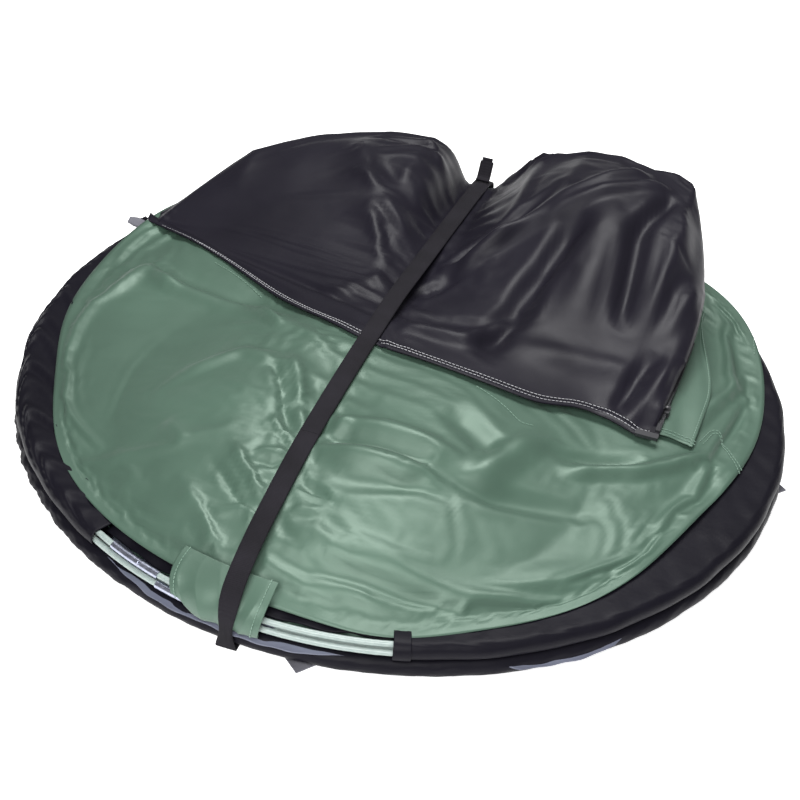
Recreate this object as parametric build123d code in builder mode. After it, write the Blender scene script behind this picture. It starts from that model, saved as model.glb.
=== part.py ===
from build123d import *
import math
import os

os.makedirs("parts", exist_ok=True)

# Pop-up tent, folded into its flat round pack and held by one webbing strap.
# The origin is the centre of the pack on the surface it lies on.  +Z is up and +Y runs
# along the strap, from the tab that holds the rods to the strap's free end.

# ---- driving dimensions (mm) ----
pack_radius = 400.0  # outside of the two black sleeves
rod_diameter = 6.0  # solid fibreglass rod
ferrule_diameter = 8.2  # steel tube that joins two rods
ferrule_length = 60.0
strand_offset = 4.65  # from the middle of a bundle to the middle of a rod
sleeve_bore_radius = 9.2
sleeve_wall = 0.8
bundle_gap = 0.4  # between the lower and the upper sleeve
sheet_lift = 2.0  # the lower sleeve rides this far above the floor
clearance = 0.6  # between one folded layer and the next

strap_width = 20.0
strap_thickness = 1.6
strap_x = -35.0  # the strap's centreline lies a little to the left of the middle

sleeve_radius = sleeve_bore_radius + sleeve_wall
hoop_radius = pack_radius - sleeve_radius
lower_z = sheet_lift + sleeve_radius
upper_z = lower_z + 2 * sleeve_radius + bundle_gap
leaf_z = upper_z - sleeve_radius  # where the upper half of the pack begins
inner_radius = hoop_radius - sleeve_radius - 2.0  # room for the folded cloth inside the hoops


def arc_angle(length, radius):
    """Degrees that a length covers on a circle."""
    return math.degrees(length / radius)


# ---- groundsheet and folded cloth in the lower half ----

groundsheet_thickness = 3.0
strap_slot_depth = strap_thickness + 0.4

with BuildPart() as groundsheet:
    with BuildSketch():
        Circle(inner_radius)
    extrude(amount=groundsheet_thickness)
    with BuildSketch():
        with Locations((strap_x, 0)):
            Rectangle(strap_width + 2.0, 2 * pack_radius)
    extrude(amount=strap_slot_depth, mode=Mode.SUBTRACT)
groundsheet.part.label = "groundsheet"
export_step(groundsheet.part, "parts/groundsheet.step")

lower_stack_base = groundsheet_thickness + 0.3
with BuildPart() as lower_layers:
    with BuildSketch(Plane.XY.offset(lower_stack_base)):
        Circle(inner_radius - 2.0)
    extrude(amount=leaf_z - 0.5 - lower_stack_base)
    fillet(lower_layers.edges(), radius=4.0)
lower_layers.part.label = "folded_inner_layers"
export_step(lower_layers.part, "parts/folded_inner_layers.step")

# ---- the two sleeves ----

window_start = 241.0  # degrees, where the upper sleeve stops and the rods come out
window_end = 289.0  # where the rods go back in
window_angle = window_end - window_start


def sleeve_section_plane(angle):
    """Plane through the axis of the pack, square to the hoops, at an angle about +Z."""
    turn = math.radians(angle)
    out = (math.cos(turn), math.sin(turn), 0)
    along = (math.sin(turn), -math.cos(turn), 0)
    return Plane(origin=(0, 0, 0), x_dir=out, z_dir=along)


def sleeve_arc(centre_z, start, sweep_angle, bore=sleeve_bore_radius, outside=sleeve_radius):
    """Part of a round cloth tube that runs about +Z from one angle to the next."""
    with BuildPart() as tube:
        with BuildSketch(sleeve_section_plane(start)):
            with Locations((hoop_radius, centre_z)):
                Circle(outside)
                Circle(bore, mode=Mode.SUBTRACT)
        revolve(axis=Axis.Z, revolution_arc=sweep_angle)
    return tube.part


lower_sleeve = sleeve_arc(lower_z, 0.0, 360.0)
lower_sleeve.label = "lower_sleeve"
export_step(lower_sleeve, "parts/lower_sleeve.step")

upper_sleeve = sleeve_arc(upper_z, window_end, 360.0 - window_angle)
upper_sleeve.label = "upper_sleeve"
export_step(upper_sleeve, "parts/upper_sleeve.step")

# ---- fibreglass hoops ----
# Each hoop is coiled into three turns that lie side by side in its sleeve.  A turn is two
# rods joined by two ferrules, and the ferrules of the three turns are staggered.

first_joint = 248.5  # angle of the first ferrule, in the open window
joint_stagger = 9.0  # degrees from one turn's ferrules to the next turn's
end_gap = 0.15  # degrees between two rod ends inside a ferrule
strand_rolls = (90.0, -30.0, 210.0)  # where the turns lie round the middle of the bundle


def hoop_piece(roll, centre_z, start, sweep_angle, outside, bore=0.0):
    """Rod, or tube when bore is given, bent along one turn of a hoop."""
    turn = math.radians(roll)
    strand_r = hoop_radius + strand_offset * math.cos(turn)
    strand_z = centre_z + strand_offset * math.sin(turn)
    with BuildPart() as piece:
        with BuildSketch(sleeve_section_plane(start)):
            with Locations((strand_r, strand_z)):
                Circle(outside)
                if bore:
                    Circle(bore, mode=Mode.SUBTRACT)
        revolve(axis=Axis.Z, revolution_arc=sweep_angle)
    return piece.part


ferrule_angle = arc_angle(ferrule_length, hoop_radius)
for hoop_name, hoop_z in (("lower_hoop", lower_z), ("upper_hoop", upper_z)):
    for strand, roll in enumerate(strand_rolls):
        for half in (0, 1):
            number = 2 * strand + half + 1
            joint = first_joint + strand * joint_stagger + half * 180.0
            rod = hoop_piece(roll, hoop_z, joint + end_gap, 180.0 - 2 * end_gap, rod_diameter / 2)
            rod.label = f"{hoop_name}_rod_{number}"
            export_step(rod, f"parts/{rod.label}.step")
            ferrule = hoop_piece(
                roll,
                hoop_z,
                joint - ferrule_angle / 2,
                ferrule_angle,
                ferrule_diameter / 2,
                rod_diameter / 2 + 0.1,
            )
            ferrule.label = f"{hoop_name}_ferrule_{number}"
            export_step(ferrule, f"parts/{ferrule.label}.step")

# ---- cloth tab and cuff that hold the upper rods in the window ----

tab_start = 255.5
tab_angle = 14.0
rod_tab = sleeve_arc(upper_z, tab_start, tab_angle, bore=9.3, outside=10.1)
rod_tab.label = "rod_tab"
export_step(rod_tab, "parts/rod_tab.step")

cuff_angle = 2.2
rod_cuff = sleeve_arc(upper_z, window_end - cuff_angle - 0.1, cuff_angle, bore=9.3, outside=10.2)
rod_cuff.label = "rod_cuff"
export_step(rod_cuff, "parts/rod_cuff.step")

# ---- green canopy, folded and lying over the upper half ----

bulge_x = -10.0
bulge_y = -120.0
canopy_edge_height = 34.0


def canopy_form(grow):
    """Low dome with a flat-topped bulge near the front, every height raised by grow."""
    base = leaf_z + 0.3
    with BuildPart() as form:
        with BuildSketch(Plane.XZ):
            with BuildLine():
                Line((0, base), (0, 70 + grow))
                Spline(
                    (0, 70 + grow),
                    (200, 69 + grow),
                    (290, 62 + grow),
                    (345, 50 + grow),
                    (inner_radius, canopy_edge_height + grow),
                    tangents=[(1, 0), (0.7, -0.7)],
                )
                Line((inner_radius, canopy_edge_height + grow), (inner_radius, base))
                Line((inner_radius, base), (0, base))
            make_face()
        revolve(axis=Axis.Z, revolution_arc=360)
        with BuildSketch(Plane(origin=(bulge_x, bulge_y, 0), x_dir=(1, 0, 0), z_dir=(0, -1, 0))):
            with BuildLine():
                Line((0, base), (0, 101 + grow))
                Spline(
                    (0, 101 + grow),
                    (95, 99 + grow),
                    (170, 84 + grow),
                    (225, 64 + grow),
                    (252, 40 + grow),
                    tangents=[(1, 0), (0.4, -0.9)],
                )
                Line((252, 40 + grow), (252, base))
                Line((252, base), (0, base))
            make_face()
        revolve(axis=Axis((bulge_x, bulge_y, 0), (0, 0, 1)), revolution_arc=360)
    return form.part


canopy = canopy_form(0.0)
canopy.label = "canopy_panel"
export_step(canopy, "parts/canopy_panel.step")

over_canopy = canopy_form(clearance)

# ---- black door panel, folded back over the far half in two puffed lobes ----

lobe_floor = 30.0
rim_top = upper_z + sleeve_radius + 0.8  # the puffed cloth hangs over the upper sleeve


def lobe(sections):
    """Puffed cloth between cross-sections.  Each is (x, [(y, top height), ...])."""
    with BuildPart() as puff:
        for x, crest in sections:
            near, far = crest[0][0], crest[-1][0]
            with BuildSketch(Plane.YZ.offset(x)):
                with BuildLine():
                    Line((near, lobe_floor), (far, lobe_floor))
                    Line((far, lobe_floor), crest[-1])
                    Spline(*reversed(crest))
                    Line(crest[0], (near, lobe_floor))
                make_face()
        loft()
        add(over_canopy, mode=Mode.SUBTRACT)
        Cylinder(1.1 * pack_radius, 2 * rim_top, mode=Mode.SUBTRACT)
    return puff.part.solids().sort_by(SortBy.VOLUME)[-1]


left_lobe = lobe(
    [
        (-358.0, [(138, 46), (147, 49), (156, 50), (165, 44)]),
        (-266.0, [(111, 76), (165, 88), (215, 92), (268, 62)]),
        (-150.0, [(32, 102), (150, 108), (270, 118), (355, 84)]),
        (-51.0, [(-25, 104), (110, 92), (250, 80), (384, 58)]),
    ]
)
left_lobe.label = "door_panel_left"
export_step(left_lobe, "parts/door_panel_left.step")

right_lobe = lobe(
    [
        (-8.0, [(-36, 106), (110, 90), (250, 78), (384, 58)]),
        (80.0, [(-42, 100), (110, 112), (270, 148), (382, 120)]),
        (160.0, [(-25, 92), (110, 106), (260, 158), (356, 140)]),
        (222.0, [(-20, 82), (90, 96), (210, 136), (322, 130)]),
        (262.0, [(-20, 76), (60, 82), (160, 92), (262, 84)]),
    ]
)
right_lobe.label = "door_panel_right"
export_step(right_lobe, "parts/door_panel_right.step")

# ---- grey webbing tab at the left end of the door hem ----

with BuildPart() as hem_tab:
    with BuildSketch(Plane(origin=(-371, 146, 46), x_dir=(1, -0.25, 0.35), z_dir=(0.35, 0, -1))):
        RectangleRounded(24, 14, radius=2)
    extrude(amount=1.6)
hem_tab.part.label = "hem_webbing_tab"
export_step(hem_tab.part, "parts/hem_webbing_tab.step")

# ---- green storm flap beside the door's zip ----

flap_near = -14.0
flap_far = 220.0
flap_left = 279.0
flap_right = 309.0

flap_outer = canopy_form(clearance + 1.6)
with BuildPart() as storm_flap:
    with BuildSketch(Plane.XY.offset(lobe_floor)):
        with BuildLine():
            Polyline(
                (flap_left, flap_near),
                (flap_right, flap_near + 10),
                (flap_right - 14, flap_far),
                (flap_left, flap_far),
                close=True,
            )
        make_face()
    extrude(amount=60)
    add(flap_outer, mode=Mode.INTERSECT)
    add(over_canopy, mode=Mode.SUBTRACT)
storm_flap.part.label = "storm_flap"
export_step(storm_flap.part, "parts/storm_flap.step")

# ---- coil zip along the door's right edge, with slider and pull ----

zip_x = 271.0
zip_base = 70.0
zip_near = -18.0
zip_far = 150.0
tape_width = 10.0
tape_thickness = 1.0
coil_width = 5.0
coil_height = 2.2
coil_pitch = 6.0
zip_length = zip_far - zip_near
zip_middle = (zip_near + zip_far) / 2

with BuildPart() as zip_tape:
    with BuildSketch(Plane.XY.offset(zip_base)):
        with Locations((zip_x + coil_width / 2, zip_middle)):
            Rectangle(tape_width, zip_length, align=(Align.MAX, Align.CENTER))
    extrude(amount=tape_thickness)
zip_tape.part.label = "zip_tape"
export_step(zip_tape.part, "parts/zip_tape.step")

coil_base = zip_base + tape_thickness
with BuildPart() as zip_coil:
    with BuildSketch(Plane.XY.offset(coil_base)):
        with Locations((zip_x, zip_middle)):
            Rectangle(coil_width, zip_length - 4)
    extrude(amount=coil_height)
    fillet(zip_coil.edges().filter_by(Axis.Y).group_by(Axis.Z)[-1], radius=0.9)
    with BuildSketch(Plane.XY.offset(coil_base + coil_height)):
        with Locations((zip_x, zip_middle)):
            with GridLocations(1, coil_pitch, 1, int((zip_length - 10) / coil_pitch)):
                Rectangle(coil_width + 1, 0.8)
    extrude(amount=-0.6, mode=Mode.SUBTRACT)
zip_coil.part.label = "zip_coil"
export_step(zip_coil.part, "parts/zip_coil.step")

with BuildPart() as end_stop:
    with BuildSketch(Plane.XY.offset(zip_base - 0.5)):
        with Locations((zip_x - 9, zip_near - 7)):
            RectangleRounded(24, 8, radius=1.5)
    extrude(amount=3.5)
end_stop.part.label = "zip_end_stop"
export_step(end_stop.part, "parts/zip_end_stop.step")

slider_y = 20.0
slider_length = 13.0
slider_width = 9.0
slider_clearance = 0.4
slider_wall = 1.4
slider_rib = 1.4
slider_roof = coil_base + coil_height + slider_clearance
slider_floor = zip_base - slider_clearance
pin_z = slider_roof + slider_wall + 2.2
pin_radius = 0.9

with BuildPart() as slider:
    with BuildSketch(Plane.XY.offset(slider_floor - slider_wall)):
        with Locations((zip_x, slider_y)):
            RectangleRounded(slider_width, slider_length, radius=2)
    extrude(amount=slider_roof - slider_floor + 2 * slider_wall)
    with BuildSketch(Plane.XY.offset(slider_floor)):
        with Locations((zip_x, slider_y)):
            Rectangle(slider_width + 1, slider_length + 1)
    extrude(amount=slider_roof - slider_floor, mode=Mode.SUBTRACT)
    # the outer wall joins the two plates; the tape leaves by the open inner side
    with BuildSketch(Plane.XY.offset(slider_floor)):
        with Locations((zip_x + slider_width / 2, slider_y)):
            Rectangle(slider_rib, slider_length - 4, align=(Align.MAX, Align.CENTER))
    extrude(amount=slider_roof - slider_floor)
    # ears and pin of the bridge that carries the pull
    with BuildSketch(Plane.XY.offset(slider_roof + slider_wall)):
        with Locations((zip_x, slider_y)):
            with GridLocations(6.0, 1, 2, 1):
                Rectangle(1.4, 4.0)
    extrude(amount=3.4)
    with BuildSketch(Plane.YZ.offset(zip_x)):
        with Locations((slider_y, pin_z)):
            Circle(pin_radius)
    extrude(amount=3.2, both=True)
slider.part.label = "zip_slider"
export_step(slider.part, "parts/zip_slider.step")

pull_length = 26.0
pull_thickness = 1.2
pull_eye_radius = 2.0
with BuildPart() as pull:
    with BuildSketch(Plane.XY.offset(pin_z - pull_thickness)):
        with Locations((zip_x, slider_y + pull_length / 2 + 1.0)):
            RectangleRounded(4.2, pull_length, radius=1.5)
    extrude(amount=2 * pull_thickness)
    with BuildSketch(Plane.YZ.offset(zip_x)):
        with Locations((slider_y, pin_z)):
            Circle(pull_eye_radius)
    extrude(amount=2.1, both=True)
    with BuildSketch(Plane.YZ.offset(zip_x)):
        with Locations((slider_y, pin_z)):
            Circle(pin_radius + 0.15)
    extrude(amount=5, both=True, mode=Mode.SUBTRACT)
pull.part.label = "zip_pull"
export_step(pull.part, "parts/zip_pull.step")

# ---- webbing strap ----
# One band: under the pack, up round the front tab, over the canopy and down the far rim.


def strap_run(centreline, label):
    """Band of the strap's width whose lower face follows the points (y, z)."""
    with BuildPart() as band:
        with BuildSketch(Plane.YZ.offset(strap_x)):
            with BuildLine():
                lower_line = Spline(*centreline)
                upper_line = Spline(*[shifted(centreline, i) for i in range(len(centreline))])
                Line(lower_line @ 0, upper_line @ 0)
                Line(lower_line @ 1, upper_line @ 1)
            make_face()
        extrude(amount=strap_width / 2, both=True)
    band.part.label = label
    export_step(band.part, f"parts/{label}.step")
    return band.part


def shifted(points, index):
    """The point moved by the strap's thickness, square to the line through its neighbours."""
    before = points[max(index - 1, 0)]
    after = points[min(index + 1, len(points) - 1)]
    run = math.hypot(after[0] - before[0], after[1] - before[1])
    side_y = -(after[1] - before[1]) / run
    side_z = (after[0] - before[0]) / run
    return (points[index][0] + side_y * strap_thickness, points[index][1] + side_z * strap_thickness)


fold_y = -388.0  # where the released strap bends over the tab
fold_z = 61.0
curl_y = 0.0  # where the released strap bends again
curl_z = 104.0
strap_gap = 0.8

front_turn = [(-401.5, 2.5), (-402.5, 24), (-400.5, 46), (fold_y - strap_gap, fold_z - strap_thickness)]
strap_run(front_turn, "strap_front_turn")
mid_run = [
    (fold_y + strap_gap, fold_z - strap_thickness + 0.3),
    (-350, 79),
    (-302, 91),
    (-229, 101.5),
    (-143, 104.5),
    (-63, 104.5),
    (curl_y - strap_gap, curl_z - strap_thickness),
]
strap_run(mid_run, "strap_mid_run")
rear_run = [
    (curl_y + strap_gap, curl_z - strap_thickness - 0.1),
    (60, 99),
    (135, 89),
    (228, 77),
    (315, 65),
    (375, 56),
    (400, 48),
    (405.6, 36),
    (405.8, 22),
]
strap_run(rear_run, "strap_rear_run")

under_thickness = strap_thickness
riser_y = 401.0
with BuildPart() as under_run:
    with BuildSketch(Plane.YZ.offset(strap_x)):
        with BuildLine():
            Polyline(
                (-401.2, 0),
                (riser_y + under_thickness, 0),
                (riser_y + under_thickness, 40),
                (riser_y, 40),
                (riser_y, under_thickness),
                (-401.2, under_thickness),
                close=True,
            )
        make_face()
    extrude(amount=strap_width / 2, both=True)
under_run.part.label = "strap_under_run"
export_step(under_run.part, "parts/strap_under_run.step")

patch_height = 12.0
patch_z = 29.0
patch_thickness = 0.8
for patch_name, patch_y in (
    ("strap_loop_patch", riser_y + under_thickness),
    ("strap_hook_patch", riser_y + under_thickness + patch_thickness + 0.3),
):
    with BuildPart() as patch:
        with BuildSketch(Plane.XZ.offset(-patch_y)):
            with Locations((strap_x, patch_z)):
                Rectangle(strap_width - 3, patch_height)
        extrude(amount=-patch_thickness)
    patch.part.label = patch_name
    export_step(patch.part, f"parts/{patch_name}.step")

with BuildPart() as pull_tab:
    with BuildSketch(Plane.YZ.offset(strap_x)):
        with BuildLine():
            Polyline((386, 56.4), (389.5, 55.0), (404, 78), (402, 82), (398.5, 81), close=True)
        make_face()
    extrude(amount=strap_width / 2 - 2, both=True)
pull_tab.part.label = "strap_pull_tab"
export_step(pull_tab.part, "parts/strap_pull_tab.step")

# ---- peg loops and tag loop round the rim ----

peg_loop_angles = {"front": 275.0, "right": 5.0, "rear": 75.0, "left": 175.0}
loop_reach = pack_radius + 8.0
loop_width = 34.0
for side, angle in peg_loop_angles.items():
    with BuildPart() as peg_loop:
        with BuildSketch(Plane.XY.rotated((0, 0, angle))):
            with BuildLine():
                Polyline(
                    (inner_radius + 1, loop_width / 2),
                    (loop_reach - 16, loop_width / 2 - 2),
                    (loop_reach, 0),
                    (loop_reach - 16, 2 - loop_width / 2),
                    (inner_radius + 1, -loop_width / 2),
                    close=True,
                )
            make_face()
        extrude(amount=1.4)
    peg_loop.part.label = f"peg_loop_{side}"
    export_step(peg_loop.part, f"parts/peg_loop_{side}.step")
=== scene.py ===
import math

import bmesh
import bpy
import numpy as np
from bpy.props import FloatProperty, FloatVectorProperty, IntProperty, PointerProperty
from mathutils import Euler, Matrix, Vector


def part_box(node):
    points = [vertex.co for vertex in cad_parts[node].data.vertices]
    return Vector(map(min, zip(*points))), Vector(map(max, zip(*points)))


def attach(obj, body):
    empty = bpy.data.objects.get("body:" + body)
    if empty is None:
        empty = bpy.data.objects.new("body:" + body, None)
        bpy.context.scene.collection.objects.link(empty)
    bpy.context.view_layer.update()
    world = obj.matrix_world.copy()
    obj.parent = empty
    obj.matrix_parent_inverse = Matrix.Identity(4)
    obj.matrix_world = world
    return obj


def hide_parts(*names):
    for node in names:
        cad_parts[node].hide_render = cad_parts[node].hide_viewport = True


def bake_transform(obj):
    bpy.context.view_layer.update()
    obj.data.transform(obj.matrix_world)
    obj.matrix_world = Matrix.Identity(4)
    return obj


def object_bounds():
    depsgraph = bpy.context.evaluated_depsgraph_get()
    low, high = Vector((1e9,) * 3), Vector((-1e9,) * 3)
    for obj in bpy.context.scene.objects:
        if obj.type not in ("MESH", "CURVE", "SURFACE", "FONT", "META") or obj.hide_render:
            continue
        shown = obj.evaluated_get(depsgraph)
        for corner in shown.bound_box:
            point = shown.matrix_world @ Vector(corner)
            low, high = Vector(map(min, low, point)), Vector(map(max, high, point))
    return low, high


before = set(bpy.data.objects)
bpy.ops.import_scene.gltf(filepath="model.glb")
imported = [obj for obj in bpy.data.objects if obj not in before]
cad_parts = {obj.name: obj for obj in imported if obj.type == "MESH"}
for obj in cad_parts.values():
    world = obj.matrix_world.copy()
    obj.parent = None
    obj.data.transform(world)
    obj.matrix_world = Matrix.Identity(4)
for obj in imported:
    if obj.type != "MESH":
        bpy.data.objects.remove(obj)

bl_info = {
    "name": "Folded pop up tent",
    "version": (1, 0, 0),
    "blender": (4, 5, 0),
    "location": "View3D > Sidebar > Tent",
    "description": "Builds the cloth, webbing, stitching and finishes of a folded pop up tent",
    "category": "Object",
}

# ---- the CAD frame's own sizes ----

CAD_LOW, CAD_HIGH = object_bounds()
LOWER_LOW, LOWER_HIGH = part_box("lower_sleeve")
UPPER_LOW, UPPER_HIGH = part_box("upper_sleeve")
STRAP_LOW, STRAP_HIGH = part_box("strap_mid_run")
PACK_R = LOWER_HIGH.x
SLEEVE_R = (LOWER_HIGH.z - LOWER_LOW.z) / 2
HOOP_R = PACK_R - SLEEVE_R
LOWER_Z = LOWER_LOW.z + SLEEVE_R
UPPER_Z = UPPER_LOW.z + SLEEVE_R
STRAP_X = (STRAP_LOW.x + STRAP_HIGH.x) / 2
STRAP_HALF = (STRAP_HIGH.x - STRAP_LOW.x) / 2
TAU = 2 * math.pi


# ---- the sizes and colours a user would change ----


class TentCloth(bpy.types.PropertyGroup):
    canopy_colour: FloatVectorProperty(
        name="Canopy",
        description="Colour of the canopy cloth",
        subtype="COLOR",
        size=3,
        default=(0.053, 0.095, 0.070),
    )
    door_colour: FloatVectorProperty(
        name="Door",
        description="Colour of the door panel",
        subtype="COLOR",
        size=3,
        default=(0.009, 0.008, 0.013),
    )
    sleeve_colour: FloatVectorProperty(
        name="Sleeves",
        description="Colour of the rod sleeves",
        subtype="COLOR",
        size=3,
        default=(0.0065, 0.006, 0.0095),
    )
    ground_colour: FloatVectorProperty(
        name="Groundsheet",
        description="Colour of the groundsheet",
        subtype="COLOR",
        size=3,
        default=(0.13, 0.14, 0.19),
    )
    thread_colour: FloatVectorProperty(
        name="Thread",
        description="Colour of the door hem's thread",
        subtype="COLOR",
        size=3,
        default=(0.42, 0.42, 0.44),
    )
    slack: FloatProperty(
        name="Slack", description="Share by which the cloth is larger than its rest", default=0.011, min=0, max=0.1
    )
    thickness: FloatProperty(
        name="Cloth thickness", description="Thickness of the cloth", default=0.0005, unit="LENGTH"
    )


class TentStitching(bpy.types.PropertyGroup):
    pitch: FloatProperty(
        name="Pitch", description="From one stitch to the next", default=0.0042, unit="LENGTH"
    )
    length: FloatProperty(name="Stitch", description="Length of one stitch", default=0.0030, unit="LENGTH")
    radius: FloatProperty(name="Thread", description="Radius of the thread", default=0.00035, unit="LENGTH")


class TentStage(bpy.types.PropertyGroup):
    azimuth: FloatProperty(
        name="Azimuth",
        description="Camera's place round the pack",
        default=math.radians(15.4),
        subtype="ANGLE",
    )
    elevation: FloatProperty(
        name="Elevation", description="Camera's height", default=math.radians(37.9168), subtype="ANGLE"
    )
    roll: FloatProperty(
        name="Roll",
        description="Camera's turn about its own axis",
        default=math.radians(5.4),
        subtype="ANGLE",
    )
    distance: FloatProperty(
        name="Distance", description="Camera to the pack's centre", default=2.2, unit="LENGTH"
    )
    lens: FloatProperty(name="Lens", description="Focal length in millimetres", default=93.5)


# ---- small maths helpers ----


def smooth(low, high, value):
    t = np.clip((value - low) / (high - low), 0, 1)
    return t * t * (3 - 2 * t)


def mound(x, y, centre, size, turn=0.0, power=1.0):
    """A soft hill of height 1 on an oval of the given half sizes, turned about +Z."""
    dx, dy = x - centre[0], y - centre[1]
    c, s = math.cos(turn), math.sin(turn)
    u, v = (c * dx + s * dy) / size[0], (c * dy - s * dx) / size[1]
    return np.exp(-((u * u + v * v) ** power))


def ridge(x, y, start, end, width, skew=0.0):
    """A fold of height 1 along the line from start to end, dying away past both ends."""
    sx, sy = start
    dx, dy = end[0] - sx, end[1] - sy
    length = math.hypot(dx, dy)
    along = ((x - sx) * dx + (y - sy) * dy) / length
    across = ((y - sy) * dx - (x - sx) * dy) / length
    fade = smooth(-0.25, 0.25, along / length) * (1 - smooth(0.7, 1.25, along / length))
    u = across / width + skew * across * np.abs(across) / width**2
    return fade * np.exp(-u * u)


def near_angle(theta, degrees, width):
    """1 at an angle, fading to 0 at about the given width in degrees on each side."""
    off = np.angle(np.exp(1j * (theta - math.radians(degrees))))
    return np.exp(-((off / math.radians(width)) ** 2))


def curve_through(points, count, closed=False):
    """Evenly spaced points on a smooth curve through the given ones (Catmull-Rom)."""
    p = np.array(points, float)
    if closed:
        p = np.vstack([p[-1], p, p[0], p[1]])
    else:
        p = np.vstack([2 * p[0] - p[1], p, 2 * p[-1] - p[-2]])
    fine = []
    for i in range(1, len(p) - 2):
        t = np.linspace(0, 1, 24, endpoint=False)[:, None]
        a, b, c, d = p[i - 1], p[i], p[i + 1], p[i + 2]
        fine.append(
            0.5 * (
                2 * b + (c - a) * t + (2 * a - 5 * b + 4 * c - d) * t**2 + (3 * b - a - 3 * c + d) * t**3
            )
        )
    fine = np.vstack(fine + [p[-2:-1]])
    run = np.concatenate([[0], np.cumsum(np.linalg.norm(np.diff(fine, axis=0), axis=1))])
    wanted = np.linspace(0, run[-1], count)
    return np.stack([np.interp(wanted, run, fine[:, k]) for k in range(fine.shape[1])], 1)


# ---- the strap's line, (y, z) of its lower face ----

STRAP_LINE = [
    (-0.4018, 0.0030), (-0.4030, 0.0200), (-0.4015, 0.0400), (-0.3920, 0.0590), (-0.3720, 0.0720), (
        -0.3400, 0.0830
    ),
    (-0.3020, 0.0910), (-0.2290, 0.1015), (-0.1430, 0.1048), (-0.0630, 0.1045), (0.0000, 0.1024), (
        0.0600, 0.0990
    ),
    (0.1350, 0.0890), (0.2280, 0.0770), (0.3150, 0.0650), (0.3750, 0.0560), (0.4000, 0.0490), (
        0.4062, 0.0370
    ),
    (0.4066, 0.0220),
]
STRAP_TOP = STRAP_LINE[4:-3]
STRAP_THICKNESS = 0.0016


def strap_height(y):
    """Height of the strap's lower face over the pack."""
    line = np.array(STRAP_TOP)
    return np.interp(y, line[:, 0], line[:, 1])


def pressed_by_strap(x, y, z, gap=0.0022, spread=0.030):
    """The cloth's height with the strap pressing a valley into it."""
    excess = np.maximum(z - (strap_height(y) - gap), 0)
    off = np.maximum(np.abs(x - STRAP_X) - STRAP_HALF, 0)
    return z - excess * np.exp(-((off / spread) ** 2))


# ---- the shapes that the cloth lies in ----



def canopy_radius(angle):
    """The canopy's edge, drawn in on the right where the sleeve's flap shows."""
    drawn_in = 0.026 * near_angle(angle, -17, 24) + 0.015 * near_angle(angle, 203, 17)
    over_rim = 0.010 * near_angle(angle, -74, 10) + 0.018 * near_angle(angle, 88.5, 5)
    over_rim = over_rim + 0.020 * near_angle(angle, 148, 19) + 0.020 * near_angle(angle, 42, 20)
    return 0.377 - drawn_in + over_rim


DOME = [(0.0, 0.0700), (0.200, 0.0690), (0.290, 0.0620), (0.345, 0.0510), (0.362, 0.0455), (0.380, 0.0420)]
BULGE_CENTRE = (-0.010, -0.120)
BULGE = [(0.0, 0.1012), (0.095, 0.0995), (0.170, 0.0840), (0.225, 0.0640), (0.252, 0.0400), (0.300, 0.0100)]


def read_profile(points, reach):
    """Height of a profile of (reach, height) points."""
    line = curve_through(points, 240)
    return np.interp(reach, line[:, 0], line[:, 1])


def soft_union(a, b, blend):
    """The larger of two heights, rounded where they cross."""
    d = np.clip(blend - np.abs(a - b), 0, None) / blend
    return np.maximum(a, b) + d * d * blend * 0.25


def canopy_height(x, y):
    dome = read_profile(DOME, np.hypot(x, y))
    bulge = read_profile(BULGE, np.hypot(x - BULGE_CENTRE[0], y - BULGE_CENTRE[1]))
    z = soft_union(dome, bulge, 0.016)
    z = z + 0.012 * mound(x, y, (-0.115, -0.175), (0.075, 0.125)) + 0.011 * mound(
        x, y, (0.050, -0.190), (0.090, 0.110)
    )
    rear = near_angle(np.arctan2(y, x), 88.5, 7) * smooth(0.35, 0.385, np.hypot(x, y))
    lap = near_angle(np.arctan2(y, x), 148, 22) + near_angle(np.arctan2(y, x), 42, 22)
    z = z + 0.024 * rear + 0.010 * lap * smooth(0.345, 0.385, np.hypot(x, y))
    return pressed_by_strap(x, y, z, gap=0.0035)


HEM_POINTS = [
    (-0.378, 0.150), (-0.320, 0.138), (-0.266, 0.111), (-0.154, 0.032), (-0.085, -0.010), (-0.035, -0.030),
    (0.020, -0.040), (0.085, -0.044), (0.145, -0.038), (0.186, -0.018), (0.214, -0.016), (0.248, -0.024), (
        0.264, -0.020
    ),
]
DOOR_RIM_START = math.radians(157)
DOOR_RIM_END = math.radians(56.5)


# Height of the door panel's crest along the back of the rim, as (x, height).
CREST = (
    (-0.380, 0.045), (-0.345, 0.052), (-0.307, 0.080), (-0.274, 0.104), (-0.215, 0.115), (-0.140, 0.119),
    (-0.091, 0.115), (-0.066, 0.098), (-0.048, 0.066), (-0.035, 0.052), (-0.018, 0.056), (0.005, 0.074),
    (0.040, 0.110), (0.090, 0.142), (0.130, 0.153), (0.175, 0.155), (0.222, 0.150), (0.245, 0.124), (
        0.275, 0.092
    ),
)


def door_extra(x, y):
    """How far the door panel puffs up above the canopy."""
    hem = curve_through(HEM_POINTS, 200)
    hem_y = np.interp(x, hem[:, 0], hem[:, 1])
    rim_y = np.sqrt(np.maximum(0.378**2 - x**2, 0.01))
    back = np.clip((y - hem_y) / (rim_y - hem_y), 0, 1.2)
    crest = np.array(CREST)
    tall = np.maximum(np.interp(x, crest[:, 0], crest[:, 1]) - 0.048, 0)
    near_wing = 0.012 * mound(x, y, (0.150, 0.060), (0.10, 0.09), 0.0, 1.2)
    over_zip = 0.013 * smooth(0.240, 0.262, x) * smooth(-0.012, 0.012, y) * (1 - smooth(0.16, 0.22, y))
    return 0.0035 + tall * smooth(0.0, 0.92, back) ** 1.15 + near_wing + over_zip


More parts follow.
